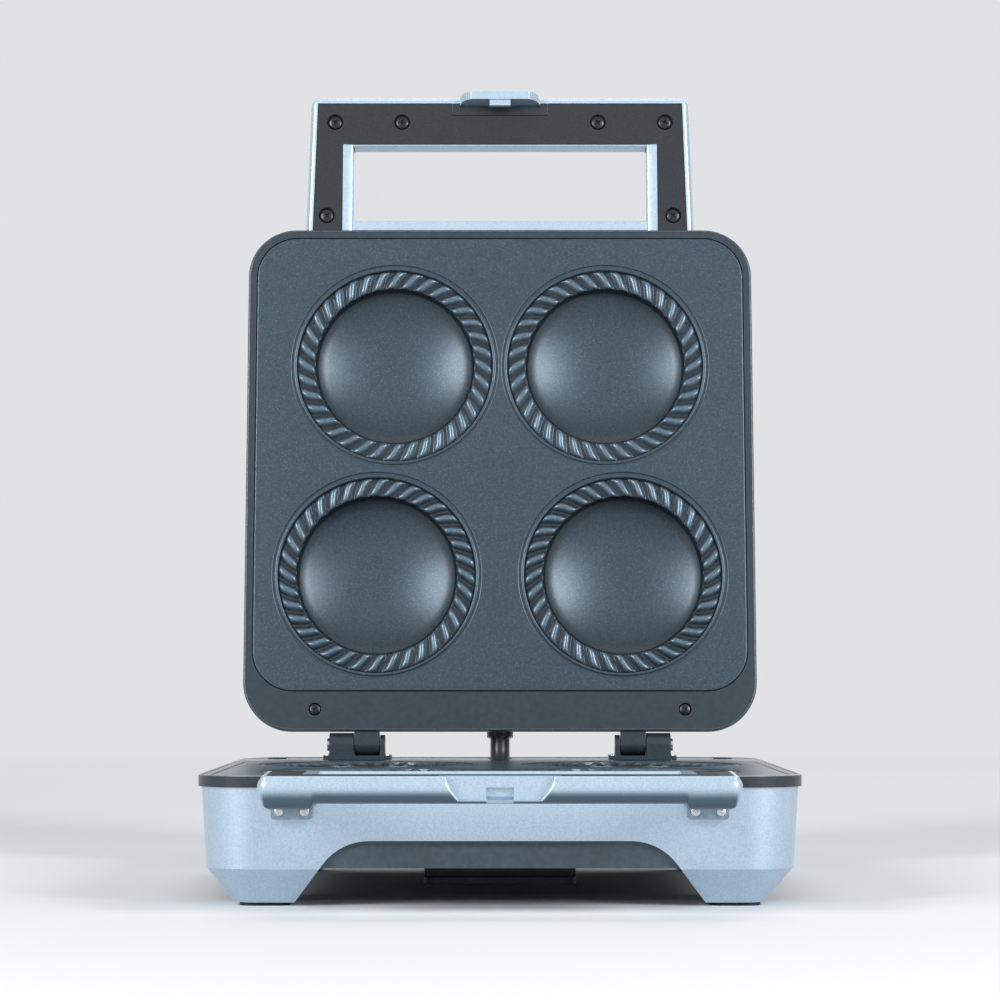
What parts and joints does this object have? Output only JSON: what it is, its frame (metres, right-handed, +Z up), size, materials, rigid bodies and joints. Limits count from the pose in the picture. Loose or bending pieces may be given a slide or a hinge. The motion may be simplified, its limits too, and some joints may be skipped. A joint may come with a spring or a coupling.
{
  "type": "electric pie maker",
  "caption": "Countertop electric pie maker: a four-legged base with round crimped wells, a hinged lid with matching domes, loop handles and a snap latch.",
  "frame": {"origin": "centre of the bounding box in plan, on the table under the feet, with the lid open", "axes": "+X to the right seen from the front, +Y from the front handle towards the hinges, +Z up"},
  "size_m": [0.266, 0.4148, 0.4087],
  "materials": {
    "silver_body": "satin silver-blue paint on moulded plastic",
    "dark_frame": "fine matte texture",
    "dark_grip": "fine matte texture",
    "nonstick_plate": "die-cast, dark non-stick coating with a fine sparkle",
    "steel_tray": "galvanised sheet",
    "element_sheath": "oxidised sheath",
    "steel_fastener": "zinc plated",
    "dark_fastener": "black oxide",
    "conduit_rubber": "matte",
    "rubber": "matte",
    "lens_red": "clear red",
    "lens_green": "clear green",
    "board": "solder mask",
    "lamp": "clear",
    "lead": "silicone sleeve"
  },
  "bodies": {
    "base": {"base_shell": "silver_body", "deck_frame": "dark_frame", "bottom_cover": "dark_frame", "rubber_feet": "rubber", "bottom_cover_screws": "steel_fastener", "cord_wrap_cleats": "dark_frame", "cleat_screws": "steel_fastener", "deck_screws": "dark_fastener", "storage_feet": "rubber", "lower_baking_plate": "nonstick_plate", "lower_heating_element": "element_sheath", "lower_element_clips": "steel_tray", "lower_reflector_tray": "steel_tray", "lower_tray_screws": "steel_fastener", "lower_plate_screws": "steel_fastener", "thermostat": "steel_fastener", "thermal_fuse": "steel_fastener", "terminal_block": "dark_grip", "cord_gland": "dark_frame", "base_leads": "lead", "hinge_brackets": "dark_frame", "hinge_pins": "steel_fastener", "hinge_screws": "dark_fastener", "lower_handle_shell": "silver_body", "lower_handle_insert": "dark_grip", "lower_insert_screws": "dark_fastener", "latch_keeper": "silver_body", "lower_handle_bolts": "steel_fastener", "handle_brackets": "silver_body", "bracket_screws": "dark_fastener"},
    "lid": {"lid_frame": "dark_frame", "lid_cover": "silver_body", "lid_screws": "dark_fastener", "upper_baking_plate": "nonstick_plate", "upper_heating_element": "element_sheath", "upper_element_clips": "steel_tray", "upper_reflector_tray": "steel_tray", "upper_tray_screws": "steel_fastener", "upper_plate_screws": "steel_fastener", "power_light_lens": "lens_red", "ready_light_lens": "lens_green", "light_board": "board", "light_board_screws": "steel_fastener", "indicator_lamps": "lamp", "lid_leads": "lead", "wiring_conduit": "conduit_rubber", "conduit_nut": "steel_fastener", "upper_handle_shell": "silver_body", "upper_handle_insert": "dark_grip", "upper_insert_screws": "dark_fastener", "upper_handle_bolts": "steel_fastener", "latch_pin": "steel_fastener", "latch_spring": "steel_fastener"},
    "latch": {"latch_flap": "silver_body"}
  },
  "joints": [
    {"name": "lid_hinge", "type": "hinge", "parent": "base", "child": "lid", "pos_m": [0, 0.13807, 0.0645], "axis": [1, 0, 0], "range_deg": [0, 98]},
    {"name": "latch_pivot", "type": "hinge", "parent": "lid", "child": "latch", "pos_m": [0, 0.18804, 0.40354], "axis": [1, 0, 0], "range_deg": [-35, 0], "stiffness_Nm_per_rad": 0.05}
  ]
}
